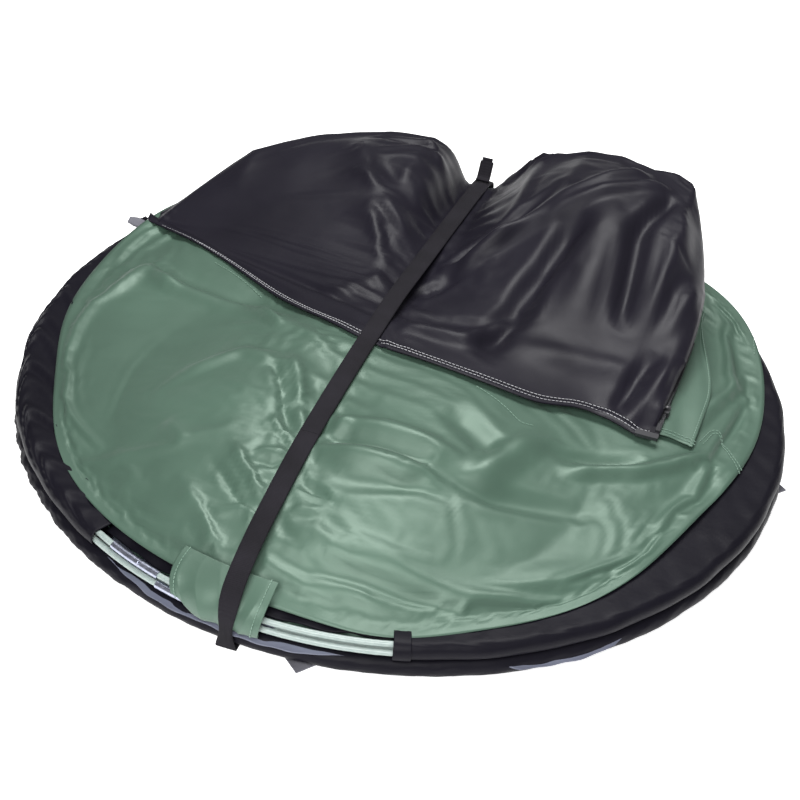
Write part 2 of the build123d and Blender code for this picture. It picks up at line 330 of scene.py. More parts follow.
def door_height(x, y):
    r = np.hypot(x, y)
    over = canopy_height(x, y) + door_extra(x, y) + fold_heights(x, y, DOOR_FOLDS) * smooth(
        0.0, 0.03, 0.372 - r
    )
    over = np.maximum(over + gathers(x, y, 0.002), canopy_height(x, y) + canopy_folds(x, y) + 0.0024)
    over = pressed_by_strap(x, y, over, spread=0.016)
    corner = 0.020 * smooth(0.165, 0.205, x)
    outside = smooth(0.376 + corner, 0.397 + corner, r)
    return over * (1 - outside) + (UPPER_HIGH.z + 0.004) * outside


# ---- building meshes ----


def new_piece(name, vertices, faces):
    mesh = bpy.data.meshes.new(name)
    mesh.from_pydata([tuple(v) for v in vertices], [], faces)
    mesh.validate()
    mesh.shade_smooth()
    piece = bpy.data.objects.new(name, mesh)
    bpy.context.scene.collection.objects.link(piece)
    return piece


def grid_faces(rows, columns, wrap_rows=False, wrap_columns=False):
    faces = []
    for i in range(rows if wrap_rows else rows - 1):
        for j in range(columns if wrap_columns else columns - 1):
            i2, j2 = (i + 1) % rows, (j + 1) % columns
            faces.append((i * columns + j, i2 * columns + j, i2 * columns + j2, i * columns + j2))
    return faces


def sheet_uv(piece, rows, columns, width, length):
    """A UV map in metres on a sheet whose vertices run in rows, so that a weave follows the cloth."""
    layer = piece.data.uv_layers.new(name="Cloth")
    index = np.empty(len(piece.data.loops), int)
    piece.data.loops.foreach_get("vertex_index", index)
    uv = np.stack([(index // columns) / (rows - 1) * width, (index % columns) / (columns - 1) * length], 1)
    layer.data.foreach_set("uv", uv.astype(np.float32).ravel())


def canopy_grid(count):
    """Points of a square grid drawn out to the canopy's round outline."""
    u, v = np.meshgrid(np.linspace(-1, 1, count), np.linspace(-1, 1, count), indexing="ij")
    x, y = u * np.sqrt(1 - v * v / 2), v * np.sqrt(1 - u * u / 2)
    edge = canopy_radius(np.arctan2(y, x))
    return x * edge, y * edge


def door_grid(across, along):
    """Points between the door's hem and the rim, as rows from left to right."""
    hem = curve_through(HEM_POINTS, across)
    angle = np.linspace(DOOR_RIM_START, DOOR_RIM_END, across)
    angle = angle + 0.06 * np.sin(np.linspace(0, math.pi, across))
    reach = 0.395 - 0.022 * near_angle(angle, 88.5, 4)
    rim = np.stack([np.cos(angle), np.sin(angle)], 1) * reach[:, None]
    t = np.linspace(0, 1, along)[None, :, None]
    t = t + 0.06 * np.sin(t * math.pi)
    points = hem[:, None, :] * (1 - t) + rim[:, None, :] * t
    bow = 0.032 * np.sin(np.linspace(0, math.pi, along))[None, :] * smooth(
        0.75, 1.0, np.linspace(0, 1, across)
    )[:, None]
    return points[..., 0] + bow, points[..., 1]


def surface_from(x, y, z):
    rows, columns = x.shape
    return np.stack([x.ravel(), y.ravel(), z.ravel()], 1), grid_faces(rows, columns)


def finished(piece):
    """The piece's mesh with its modifiers applied."""
    graph = bpy.context.evaluated_depsgraph_get()
    mesh = bpy.data.meshes.new_from_object(
        piece.evaluated_get(graph), preserve_all_data_layers=True, depsgraph=graph
    )
    old = piece.data
    piece.modifiers.clear()
    piece.data = mesh
    bpy.data.meshes.remove(old)
    return piece


def thicken(piece, thickness, offset=-1.0):
    solid = piece.modifiers.new("Thickness", "SOLIDIFY")
    solid.thickness = thickness
    solid.offset = offset
    return finished(piece)


def points_of(piece):
    co = np.empty(len(piece.data.vertices) * 3)
    piece.data.vertices.foreach_get("co", co)
    return co.reshape(-1, 3)


def settle(cloth, pins, obstacles, slack, frames, gravity=0.6, bending=7.0):
    """Lets a sheet that is a little too large for its place fall into folds on what lies under it."""
    group = cloth.vertex_groups.new(name="held")
    for weight in (1.0, 0.6, 0.3):
        chosen = np.nonzero(np.isclose(pins, weight))[0]
        if len(chosen):
            group.add([int(i) for i in chosen], weight, "REPLACE")
    for obstacle in obstacles:
        hit = obstacle.modifiers.new("Hit", "COLLISION")
        obstacle.collision.thickness_outer = 0.001
        obstacle.collision.cloth_friction = 8
    sim = cloth.modifiers.new("Cloth", "CLOTH")
    settings = sim.settings
    settings.quality = 6
    settings.mass = 0.08
    settings.tension_stiffness = 25
    settings.compression_stiffness = 12
    settings.shear_stiffness = 8
    settings.bending_stiffness = bending
    settings.air_damping = 3
    settings.vertex_group_mass = "held"
    settings.pin_stiffness = 1
    settings.shrink_min = -slack
    settings.effector_weights.gravity = gravity
    sim.collision_settings.use_collision = True
    sim.collision_settings.distance_min = 0.0012
    sim.collision_settings.use_self_collision = False
    sim.point_cache.frame_start = 1
    sim.point_cache.frame_end = frames + 1
    scene = bpy.context.scene
    for number in range(1, frames + 1):
        scene.frame_set(number)
    finished(cloth)
    cloth.vertex_groups.clear()
    scene.frame_set(1)
    for obstacle in obstacles:
        obstacle.modifiers.clear()


# ---- materials ----


def material(name, colour, roughness=0.5, metallic=0.0, sheen=0.0, coat=0.0):
    made = bpy.data.materials.new(name)
    made.use_nodes = True
    shader = made.node_tree.nodes["Principled BSDF"]
    shader.inputs["Base Color"].default_value = (*colour, 1)
    shader.inputs["Roughness"].default_value = roughness
    shader.inputs["Metallic"].default_value = metallic
    shader.inputs["Sheen Weight"].default_value = sheen
    shader.inputs["Coat Weight"].default_value = coat
    return made, made.node_tree, shader


def node(tree, kind, **values):
    made = tree.nodes.new(kind)
    for key, value in values.items():
        if key in made.inputs:
            made.inputs[key].default_value = value
        else:
            setattr(made, key, value)
    return made


def noise(tree, source, scale, detail=3.0, roughness=0.5):
    made = node(tree, "ShaderNodeTexNoise", Scale=scale, Detail=detail, Roughness=roughness)
    tree.links.new(source, made.inputs["Vector"])
    return made.outputs["Fac"]


def wave(tree, source, scale, direction, profile="SIN"):
    made = node(tree, "ShaderNodeTexWave", Scale=scale, Distortion=0.0)
    made.bands_direction = direction
    made.wave_profile = profile
    tree.links.new(source, made.inputs["Vector"])
    return made.outputs["Fac"]


def maths(tree, operation, *values):
    made = tree.nodes.new("ShaderNodeMath")
    made.operation = operation
    for socket, value in zip(made.inputs, values):
        if isinstance(value, (int, float)):
            socket.default_value = value
        else:
            tree.links.new(value, socket)
    return made.outputs[0]


def bumps(tree, shader, heights):
    """Chains bump nodes: each is (height socket, strength, distance)."""
    normal = None
    for height, strength, distance in heights:
        bump = node(tree, "ShaderNodeBump", Strength=strength, Distance=distance)
        tree.links.new(height, bump.inputs["Height"])
        if normal is not None:
            tree.links.new(normal, bump.inputs["Normal"])
        normal = bump.outputs["Normal"]
    tree.links.new(normal, shader.inputs["Normal"])


def colour_mix(tree, factor, low, high):
    ramp = tree.nodes.new("ShaderNodeValToRGB")
    ramp.color_ramp.elements[0].color = (*low, 1)
    ramp.color_ramp.elements[1].color = (*high, 1)
    ramp.color_ramp.elements[0].position = 0.3
    ramp.color_ramp.elements[1].position = 0.7
    tree.links.new(factor, ramp.inputs["Fac"])
    return ramp.outputs["Color"]


def silky_cloth(name, colour, roughness, crease, sheen=0.04, thread=0.0009, gloss=0.42, tint=(1, 1, 1)):
    """Coated polyester: fine plain weave, faint creases and a soft broad gloss."""
    made, tree, shader = material(name, colour, roughness, sheen=sheen)
    shader.inputs["Sheen Roughness"].default_value = 0.35
    shader.inputs["Specular IOR Level"].default_value = gloss
    shader.inputs["Specular Tint"].default_value = (*tint, 1)
    place = tree.nodes.new("ShaderNodeTexCoord").outputs["Object"]
    cloudy = noise(tree, place, 9.0, 4.0)
    clouds = colour_mix(
        tree, cloudy, tuple(c * 0.88 for c in colour), tuple(min(1, c * 1.12) for c in colour)
    )
    tree.links.new(clouds, shader.inputs["Base Color"])
    rough = maths(tree, "MULTIPLY_ADD", noise(tree, place, 35.0, 3.0), 0.16, roughness - 0.08)
    tree.links.new(rough, shader.inputs["Roughness"])
    weave = maths(
        tree,
        "MULTIPLY",
        wave(tree, place, 1 / (TAU * thread) * 2, "X"),
        wave(tree, place, 1 / (TAU * thread) * 2, "Y"),
    )
    creases = noise(tree, place, 42.0, 5.0, 0.6)
    waves = noise(tree, place, 13.0, 2.0, 0.4)
    bumps(tree, shader, [(waves, crease, 0.012), (creases, crease * 0.8, 0.0025), (weave, 0.12, 0.0002)])
    return made


def webbing(name, colour, along="Y", rib=0.0016):
    made, tree, shader = material(name, colour, 0.75, sheen=0.01)
    shader.inputs["Specular IOR Level"].default_value = 0.15
    place = tree.nodes.new("ShaderNodeTexCoord").outputs["Object"]
    ribs = wave(tree, place, 1 / (TAU * rib) * 2, along)
    threads = wave(tree, place, 1 / (TAU * rib * 0.8) * 2, "X" if along != "X" else "Y")
    fuzz = noise(tree, place, 900.0, 2.0)
    worn = noise(tree, place, 30.0, 3.0)
    tint = colour_mix(tree, worn, tuple(c * 0.8 for c in colour), tuple(min(1, c * 1.3) for c in colour))
    tree.links.new(tint, shader.inputs["Base Color"])
    bumps(tree, shader, [(maths(tree, "MULTIPLY", ribs, threads), 0.5, 0.0005), (fuzz, 0.2, 0.0002)])
    return made


def rod_finish():
    made, tree, shader = material("Pale fibreglass", (0.28, 0.34, 0.325), 0.32, coat=0.1)
    shader.inputs["Subsurface Weight"].default_value = 0.15
    shader.inputs["Subsurface Radius"].default_value = (0.003, 0.004, 0.004)
    place = tree.nodes.new("ShaderNodeTexCoord").outputs["Object"]
    strands = noise(tree, place, 160.0, 4.0, 0.7)
    tint = colour_mix(tree, strands, (0.25, 0.31, 0.295), (0.32, 0.38, 0.36))
    tree.links.new(tint, shader.inputs["Base Color"])
    bumps(tree, shader, [(strands, 0.06, 0.0004)])
    return made


def ferrule_finish():
    made, tree, shader = material("Plated steel", (0.36, 0.38, 0.47), 0.3, metallic=1.0)
    place = tree.nodes.new("ShaderNodeTexCoord").outputs["Object"]
    scuffs = noise(tree, place, 260.0, 5.0, 0.7)
    tree.links.new(
        colour_mix(tree, scuffs, (0.28, 0.30, 0.38), (0.46, 0.48, 0.58)), shader.inputs["Base Color"]
    )
    tree.links.new(maths(tree, "MULTIPLY_ADD", scuffs, 0.3, 0.18), shader.inputs["Roughness"])
    bumps(tree, shader, [(scuffs, 0.08, 0.0003)])
    return made


def moulded(name, colour, roughness):
    made, tree, shader = material(name, colour, roughness)
    place = tree.nodes.new("ShaderNodeTexCoord").outputs["Object"]
    bumps(tree, shader, [(noise(tree, place, 700.0, 2.0), 0.15, 0.0002)])
    return made


def pile_finish():
    made, tree, shader = material("Hook and loop pile", (0.012, 0.012, 0.014), 0.9, sheen=0.6)
    place = tree.nodes.new("ShaderNodeTexCoord").outputs["Object"]
    bumps(tree, shader, [(noise(tree, place, 1400.0, 1.0), 0.9, 0.0009)])
    return made


def thread_finish(name, colour):
    made, tree, shader = material(name, colour, 0.6, sheen=0.2)
    place = tree.nodes.new("ShaderNodeTexCoord").outputs["Object"]
    bumps(tree, shader, [(noise(tree, place, 2500.0, 1.0), 0.4, 0.0002)])
    return made


FINISHES = {}


def finish_of(name):
    """The object's finishes, each made once."""
    if name not in FINISHES:
        cloth = bpy.context.scene.tent_cloth
        makers = {
            "canopy": lambda: silky_cloth(
                "Green coated polyester",
                cloth.canopy_colour,
                0.46,
                0.13,
                gloss=0.62,
                tint=(0.80, 1.0, 0.86),
            ),
            "door": lambda: silky_cloth(
                "Black coated polyester", cloth.door_colour, 0.46, 0.12, sheen=0.0, gloss=0.17
            ),
            "sleeve": lambda: silky_cloth(
                "Black sleeve cloth", cloth.sleeve_colour, 0.45, 0.3, sheen=0.0, gloss=0.08
            ),
            "ground": lambda: silky_cloth("Grey groundsheet", cloth.ground_colour, 0.5, 0.3, sheen=0.05),
            "inner": lambda: silky_cloth("Grey inner cloth", (0.09, 0.1, 0.11), 0.6, 0.3, sheen=0.05),
            "strap": lambda: webbing("Black webbing", (0.009, 0.008, 0.011)),
            "grey_webbing": lambda: webbing("Grey webbing", (0.13, 0.13, 0.15), "X", 0.0022),
            "rod": rod_finish,
            "ferrule": ferrule_finish,
            "zip_tape": lambda: webbing("Zip tape", (0.016, 0.015, 0.019), "X", 0.0009),
            "zip_plastic": lambda: moulded("Moulded black plastic", (0.02, 0.02, 0.024), 0.4),
            "zip_metal": lambda: moulded("Black painted zinc", (0.03, 0.03, 0.033), 0.32),
            "pile": pile_finish,
            "thread": lambda: thread_finish("White thread", cloth.thread_colour),
            "pale_green_thread": lambda: thread_finish("Pale green thread", (0.16, 0.26, 0.20)),
        }
        FINISHES[name] = makers[name]()
    return FINISHES[name]


def paint(piece, finish):
    piece.data.materials.clear()
    piece.data.materials.append(finish_of(finish))


def paint_node(name, finish):
    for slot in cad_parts[name].material_slots:
        slot.material = finish_of(finish)


# ---- stitches, made with Geometry Nodes ----


def stitch_tree():
    """Short thread cylinders set along a curve, as one node tree used by every seam."""
    if "Stitch row" in bpy.data.node_groups:
        return bpy.data.node_groups["Stitch row"]
    tree = bpy.data.node_groups.new("Stitch row", "GeometryNodeTree")
    face = tree.interface
    face.new_socket(name="Seam", in_out="INPUT", socket_type="NodeSocketGeometry")
    for name, default in (("Pitch", 0.0042), ("Stitch", 0.003), ("Thread radius", 0.0004)):
        face.new_socket(name=name, in_out="INPUT", socket_type="NodeSocketFloat").default_value = default
    face.new_socket(name="Direction", in_out="INPUT", socket_type="NodeSocketVector")
    face.new_socket(name="Finish", in_out="INPUT", socket_type="NodeSocketMaterial")
    face.new_socket(name="Stitches", in_out="OUTPUT", socket_type="NodeSocketGeometry")
    add, link = tree.nodes.new, tree.links.new
    start, end = add("NodeGroupInput"), add("NodeGroupOutput")
    resample = add("GeometryNodeResampleCurve")
    resample.mode = "LENGTH"
    link(start.outputs["Seam"], resample.inputs["Curve"])
    link(start.outputs["Pitch"], resample.inputs["Length"])
    to_points = add("GeometryNodeCurveToPoints")
    to_points.mode = "EVALUATED"
    link(resample.outputs["Curve"], to_points.inputs["Curve"])
    stitch = add("GeometryNodeMeshCylinder")
    stitch.fill_type = "NGON"
    stitch.inputs["Vertices"].default_value = 6
    link(start.outputs["Thread radius"], stitch.inputs["Radius"])
    link(start.outputs["Stitch"], stitch.inputs["Depth"])
    place = add("GeometryNodeInstanceOnPoints")
    link(to_points.outputs["Points"], place.inputs["Points"])
    link(stitch.outputs["Mesh"], place.inputs["Instance"])
    aim = add("FunctionNodeAlignRotationToVector")
    aim.axis = "Z"
    turned = add("ShaderNodeVectorMath")
    link(to_points.outputs["Tangent"], turned.inputs[0])
    link(start.outputs["Direction"], turned.inputs[1])
    link(turned.outputs["Vector"], aim.inputs["Vector"])
    link(aim.outputs["Rotation"], place.inputs["Rotation"])
    real = add("GeometryNodeRealizeInstances")
    link(place.outputs["Instances"], real.inputs["Geometry"])
    finish = add("GeometryNodeSetMaterial")
    link(real.outputs["Geometry"], finish.inputs["Geometry"])
    link(start.outputs["Finish"], finish.inputs["Material"])
    link(finish.outputs["Geometry"], end.inputs["Stitches"])
    return tree


def stitch_rows(name, rows, finish="thread", radius=None, pitch=None, length=None, direction=(0, 0, 0)):
    """One mesh of stitches along each row of points.  A long direction turns them all one way."""
    sizes = bpy.context.scene.tent_stitching
    curve = bpy.data.curves.new(name, "CURVE")
    curve.dimensions = "3D"
    for row in rows:
        spline = curve.splines.new("POLY")
        spline.points.add(len(row) - 1)
        for point, place in zip(spline.points, row):
            point.co = (*place, 1)
    path = bpy.data.objects.new(name + "_path", curve)
    bpy.context.scene.collection.objects.link(path)
    tree = stitch_tree()
    modifier = path.modifiers.new("Stitches", "NODES")
    modifier.node_group = tree
    values = {
        "Pitch": pitch or sizes.pitch,
        "Stitch": length or sizes.length,
        "Thread radius": radius or sizes.radius,
        "Direction": direction,
        "Finish": finish_of(finish),
    }
    for item in tree.interface.items_tree:
        if item.in_out == "INPUT" and item.name in values:
            modifier[item.identifier] = values[item.name]
    graph = bpy.context.evaluated_depsgraph_get()
    mesh = bpy.data.meshes.new_from_object(path.evaluated_get(graph), depsgraph=graph)
    bpy.data.objects.remove(path)
    mesh.materials.clear()
    mesh.materials.append(finish_of(finish))
    piece = bpy.data.objects.new(name, mesh)
    bpy.context.scene.collection.objects.link(piece)
    return piece


def on_surface(piece, plan, lift):
    """The points of a plan line (x, y) dropped on a piece's top surface, raised by lift."""
    graph = bpy.context.evaluated_depsgraph_get()
    found = []
    shape = piece.evaluated_get(graph)
    for x, y in plan:
        hit, place, normal, _ = shape.ray_cast(Vector((x, y, 1)), Vector((0, 0, -1)))
        if hit:
            normal = normal if normal.z > 0 else -normal
            found.append(place + normal * lift)
    return found


# ---- operators, one for each piece or group of pieces ----


class TENT_OT_stage(bpy.types.Operator):
    """Camera, floor and soft lights"""

    bl_idname = "tent.stage"
    bl_label = "Stage"

    def execute(self, context):
        stage = context.scene.tent_stage
        data = bpy.data.cameras.new("Camera")
        data.lens, data.sensor_width = stage.lens, 36
        data.shift_x, data.shift_y = -0.003, 0.013
        camera = bpy.data.objects.new("Camera", data)
        context.scene.collection.objects.link(camera)
        a, e = stage.azimuth, stage.elevation
        back = Vector((math.sin(a) * math.cos(e), -math.cos(a) * math.cos(e), math.sin(e)))
        camera.location = back * stage.distance
        camera.rotation_mode = "QUATERNION"
        aim = (-back).to_track_quat("-Z", "Y")
        camera.rotation_quaternion = aim @ Euler((0, 0, stage.roll)).to_quaternion()
        context.scene.camera = camera

        floor_z = CAD_LOW.z - 0.0005
        floor = new_piece(
            "floor",
            [(-6, -6, floor_z), (6, -6, floor_z), (6, 6, floor_z), (-6, 6, floor_z)],
            [(0, 1, 2, 3)],
        )
        finish, _, shader = material("Pale floor", (0.90, 0.90, 0.90), 0.8)
        shader.inputs["Emission Color"].default_value = (1, 1, 1, 1)
        shader.inputs["Emission Strength"].default_value = 0.72
        floor.data.materials.append(finish)

        world = bpy.data.worlds.new("Studio")
        world.use_nodes = True
        world.node_tree.nodes["Background"].inputs["Color"].default_value = (1, 1, 1, 1)
        world.node_tree.nodes["Background"].inputs["Strength"].default_value = 0.17
        context.scene.world = world
        lamps = (
            ("key", (0.10, -1.75, 1.60), 1.4, 58),
            ("top", (-0.02, 0.68, 1.95), 1.0, 50),
        )
        for name, place, size, power in lamps:
            light = bpy.data.lights.new(name, "AREA")
            light.size, light.energy = size, power
            lamp = bpy.data.objects.new(name, light)
            lamp.location = place
            lamp.rotation_mode = "QUATERNION"
            lamp.rotation_quaternion = (-Vector(place)).to_track_quat("-Z", "Y")
            context.scene.collection.objects.link(lamp)
        context.scene.view_settings.view_transform = "Standard"
        return {"FINISHED"}


class TENT_OT_canopy(bpy.types.Operator):
    """Green canopy cloth, lying loose over the upper half of the pack"""

    bl_idname = "tent.canopy"
    bl_label = "Canopy"

    grid: IntProperty(name="Grid", description="Points along each side of the sheet", default=171)

    def execute(self, context):
        cloth = context.scene.tent_cloth
        x, y = canopy_grid(self.grid)
        z = canopy_height(x, y)
        z = z + canopy_folds(x, y)
        piece = new_piece("canopy_cloth", *surface_from(x, y, z))
        sheet_uv(piece, self.grid, self.grid, 0.76, 0.76)
        under = new_piece("canopy_support", *surface_from(x[::2, ::2], y[::2, ::2], (z - 0.004)[::2, ::2]))
        r = np.hypot(x, y) / canopy_radius(np.arctan2(y, x))
        held = np.where(r > 0.975, 1.0, 0.0)
        strapped = (np.abs(x - STRAP_X) < 0.010) & (np.abs(y) < 0.4)
        held = np.where(strapped, 1.0, held)
        settle(piece, held.ravel(), [under], cloth.slack, 26)
        bpy.data.objects.remove(under)
        thicken(piece, cloth.thickness)
        paint(piece, "canopy")
        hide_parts("canopy_panel")
        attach(piece, "upper_leaf")
        return {"FINISHED"}


# Each fold is (start, end, half width, height); a negative height is a valley.
CANOPY_FOLDS = (
    ((-0.310, 0.036), (-0.165, -0.008), 0.014, 0.0060),
    ((-0.165, -0.008), (-0.052, -0.068), 0.010, 0.0070),
    ((-0.300, 0.058), (-0.140, 0.012), 0.020, -0.0060),
    ((-0.177, 0.012), (-0.122, -0.044), 0.007, 0.0060),
    ((-0.190, -0.135), (-0.144, -0.096), 0.012, 0.0060),
    ((-0.144, -0.096), (-0.085, -0.114), 0.010, 0.0050),
    ((-0.150, -0.070), (-0.090, -0.085), 0.014, -0.0050),
    ((-0.090, -0.095), (-0.046, -0.190), 0.008, 0.0080),
    ((-0.105, -0.110), (-0.058, -0.200), 0.007, -0.0060),
    ((-0.075, -0.190), (-0.044, -0.219), 0.006, 0.0060),
    ((-0.072, -0.237), (-0.044, -0.232), 0.005, 0.0060),
    ((-0.078, -0.250), (-0.050, -0.247), 0.006, -0.0050),
    ((-0.095, -0.240), (-0.050, -0.286), 0.007, 0.0070),
    ((-0.105, -0.262), (-0.060, -0.300), 0.006, -0.0050),
    ((-0.070, -0.300), (-0.046, -0.309), 0.006, 0.0050),
    ((-0.125, -0.290), (-0.050, -0.372), 0.011, 0.0080),
    ((-0.106, -0.318), (-0.052, -0.378), 0.008, -0.0070),
    ((-0.155, -0.325), (-0.105, -0.362), 0.008, 0.0060),
    ((-0.140, -0.338), (-0.098, -0.366), 0.006, -0.0050),
    ((-0.176, -0.213), (-0.145, -0.243), 0.009, 0.0050),
    ((-0.215, -0.250), (-0.175, -0.300), 0.016, 0.0050),
    ((-0.335, 0.000), (-0.318, 0.060), 0.012, 0.0060),
    ((-0.318, 0.055), (-0.270, 0.020), 0.010, 0.0060),
    ((-0.024, -0.200), (-0.006, -0.166), 0.008, 0.0060),
    ((-0.020, -0.168), (0.105, -0.172), 0.013, 0.0080),
    ((-0.020, -0.190), (0.100, -0.196), 0.010, -0.0080),
    ((-0.020, -0.214), (0.130, -0.208), 0.012, 0.0090),
    ((0.020, -0.245), (0.225, -0.160), 0.016, -0.0090),
    ((0.130, -0.185), (0.164, -0.088), 0.018, 0.0100),
    ((0.080, -0.110), (0.135, -0.140), 0.022, -0.0080),
    ((0.190, -0.095), (0.262, -0.062), 0.012, -0.0070),
    ((0.205, -0.112), (0.270, -0.075), 0.010, 0.0090),
    ((0.265, -0.078), (0.320, -0.020), 0.010, 0.0080),
    ((0.285, -0.120), (0.345, -0.040), 0.022, -0.0050),
    ((0.012, -0.335), (0.140, -0.322), 0.012, -0.0060),
    ((-0.010, -0.318), (0.120, -0.300), 0.018, 0.0050),
    ((0.015, -0.358), (0.085, -0.360), 0.008, 0.0060),
    ((0.070, -0.345), (0.112, -0.356), 0.008, 0.0060),
    ((0.150, -0.310), (0.260, -0.225), 0.024, 0.0060),
    ((0.170, -0.335), (0.300, -0.200), 0.020, -0.0050),
    ((-0.015, -0.262), (0.020, -0.268), 0.007, -0.0060),
    ((-0.018, -0.292), (0.008, -0.286), 0.006, 0.0050),
    ((0.295, 0.020), (0.345, 0.180), 0.010, 0.0050),
    ((0.330, 0.000), (0.350, 0.120), 0.008, -0.0045),
    ((0.320, 0.120), (0.300, 0.215), 0.009, 0.0050),
)
DOOR_FOLDS = (
    ((-0.160, 0.300), (-0.110, 0.190), 0.012, 0.0070),
    ((-0.110, 0.195), (-0.068, 0.120), 0.010, 0.0080),
    ((-0.090, 0.180), (-0.050, 0.110), 0.010, -0.0070),
    ((-0.136, 0.240), (-0.046, 0.165), 0.009, 0.0070),
    ((-0.120, 0.265), (-0.048, 0.205), 0.012, -0.0060),
    ((-0.150, 0.345), (-0.085, 0.352), 0.010, 0.0060),
    ((-0.150, 0.328), (-0.070, 0.335), 0.008, -0.0070),
    ((-0.095, 0.350), (-0.045, 0.300), 0.008, 0.0070),
    ((-0.108, 0.048), (-0.070, 0.098), 0.012, 0.0070),
    ((-0.085, 0.120), (-0.048, 0.070), 0.009, 0.0060),
    ((-0.130, 0.060), (-0.080, 0.040), 0.009, -0.0050),
    ((-0.020, 0.100), (0.010, 0.150), 0.012, -0.0110),
    ((-0.012, 0.150), (0.050, 0.195), 0.008, 0.0080),
    ((-0.004, 0.132), (0.078, 0.235), 0.010, 0.0090),
    ((0.078, 0.235), (0.180, 0.330), 0.012, 0.0090),
    ((-0.004, 0.160), (0.070, 0.262), 0.010, -0.0080),
    ((0.011, 0.163), (0.135, 0.262), 0.012, 0.0070),
    ((0.110, 0.240), (0.215, 0.318), 0.010, 0.0070),
    ((0.118, 0.215), (0.095, 0.120), 0.019, -0.0160),
    ((0.096, 0.130), (0.078, 0.010), 0.021, -0.0150),
    ((0.205, 0.285), (0.183, 0.215), 0.013, -0.0130),
    ((0.183, 0.220), (0.196, 0.110), 0.014, -0.0130),
    ((0.150, 0.240), (0.150, 0.100), 0.024, 0.0080),
    ((0.232, 0.260), (0.222, 0.110), 0.012, 0.0070),
    ((-0.022, 0.008), (0.062, 0.014), 0.011, 0.0090),
    ((0.056, 0.016), (0.085, 0.074), 0.010, 0.0080),
    ((-0.018, 0.040), (0.070, 0.052), 0.014, -0.0060),
    ((0.255, 0.175), (0.240, 0.085), 0.010, 0.0060),
    ((0.258, 0.065), (0.240, -0.010), 0.009, 0.0080),
    ((0.236, 0.070), (0.222, 0.000), 0.010, -0.0080),
    ((0.120, 0.030), (0.235, 0.050), 0.018, 0.0050),
)


def fold_heights(x, y, folds):
    """Sum of folds, each with one steep side like a crease."""
    z = 0 * x
    for start, end, width, height in folds:
        z = z + height * ridge(x, y, start, end, width, 0.35)
    return z


def gathers(x, y, size):
    """Puckers that fan out from both edges of the strap."""
    off = np.maximum(np.abs(x - STRAP_X) - STRAP_HALF, 0)
    side = np.where(x > STRAP_X, 1.0, -1.0)
    phase = (y + 0.30 * side * off) * TAU / 0.030 + 2.0 * np.sin(23 * y + side)
    return size * np.sin(phase) * np.exp(-off / 0.026) * smooth(0, 0.006, off)


def canopy_folds(x, y):
    r = np.hypot(x, y)
    inside = 1 - smooth(0.345, 0.365, r)
    return (fold_heights(x, y, CANOPY_FOLDS) + gathers(x, y, 0.0022)) * inside


def hem_tape(place):
    """The folded edge of the door panel, a narrow roll of cloth along its hem."""
    edge, inner = place[:, 0], place[:, 2]
    inward = (inner - edge) / np.linalg.norm(inner - edge, axis=1)[:, None]
    up = np.array([0, 0, 1.0])
    section = (
        (-0.0012, -0.0004),
        (-0.0014, 0.0006),
        (0.0, 0.0012),
        (0.0030, 0.0008),
        (0.0100, 0.0006),
        (0.0100, -0.0004),
    )
    rings = [edge + inward * a + up * b for a, b in section]
    vertices = np.stack(rings, 1).reshape(-1, 3)
    faces = grid_faces(len(edge), len(section), wrap_columns=True)
    last = (len(edge) - 1) * len(section)
    faces += [tuple(range(len(section))), tuple(last + k for k in reversed(range(len(section))))]
    piece = new_piece("door_hem", vertices, faces)
    out_facing(piece)
    paint(piece, "door")
    return piece


class TENT_OT_door(bpy.types.Operator):
    """Black door panel, one sheet that puffs up on both sides of the strap"""

    bl_idname = "tent.door"
    bl_label = "Door panel"

    across: IntProperty(name="Across", description="Points from left to right", default=150)
    along: IntProperty(name="Along", description="Points from the hem to the rim", default=104)

    def execute(self, context):
        cloth = context.scene.tent_cloth
        x, y = door_grid(self.across, self.along)
        z = door_height(x, y)
        piece = new_piece("door_cloth", *surface_from(x, y, z))
        sheet_uv(piece, self.across, self.along, 0.65, 0.42)
        under = new_piece("door_support", *surface_from(x[::2, ::2], y[::2, ::2], (z - 0.003)[::2, ::2]))
        held = np.zeros(x.shape)
        held[:, -1] = 1.0
        held[0, :] = 1.0
        held[np.abs(x - STRAP_X) < 0.009] = 1.0
        settle(piece, held.ravel(), [under], cloth.slack, 26)
        bpy.data.objects.remove(under)
        place = points_of(piece).reshape(self.across, self.along, 3)
        rows = [place[3:-1, k] + (0, 0, 0.0007) for k in (1, 2)]
        thicken(piece, cloth.thickness)
        stitches = stitch_rows("door_hem_stitches", rows)
        hem = hem_tape(place)
        for trim, slot in ((stitches, "door_cloth"), (hem, "door_cloth")):
            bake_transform(trim)
        paint(piece, "door")
        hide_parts("door_panel_left", "door_panel_right")
        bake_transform(piece)
        return {"FINISHED"}


class TENT_OT_rods(bpy.types.Operator):
    """Finishes of the fibreglass rods and their ferrules"""

    bl_idname = "tent.rods"
    bl_label = "Rods and ferrules"

    def execute(self, context):
        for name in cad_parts:
            if "_rod_" in name:
                paint_node(name, "rod")
            elif "_ferrule_" in name:
                paint_node(name, "ferrule")
        rivets = [
            (x_y_z(249.4, HOOP_R + 0.0028, UPPER_Z + 0.0078)),
            (x_y_z(258.3, HOOP_R + 0.0075, UPPER_Z + 0.0002)),
        ]
        piece = small_domes("ferrule_rivets", rivets, 0.0016)
        paint(piece, "ferrule")
        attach(piece, "upper_leaf")
        return {"FINISHED"}


def x_y_z(degrees, radius, height):
    turn = math.radians(degrees)
    return Vector((radius * math.cos(turn), radius * math.sin(turn), height))


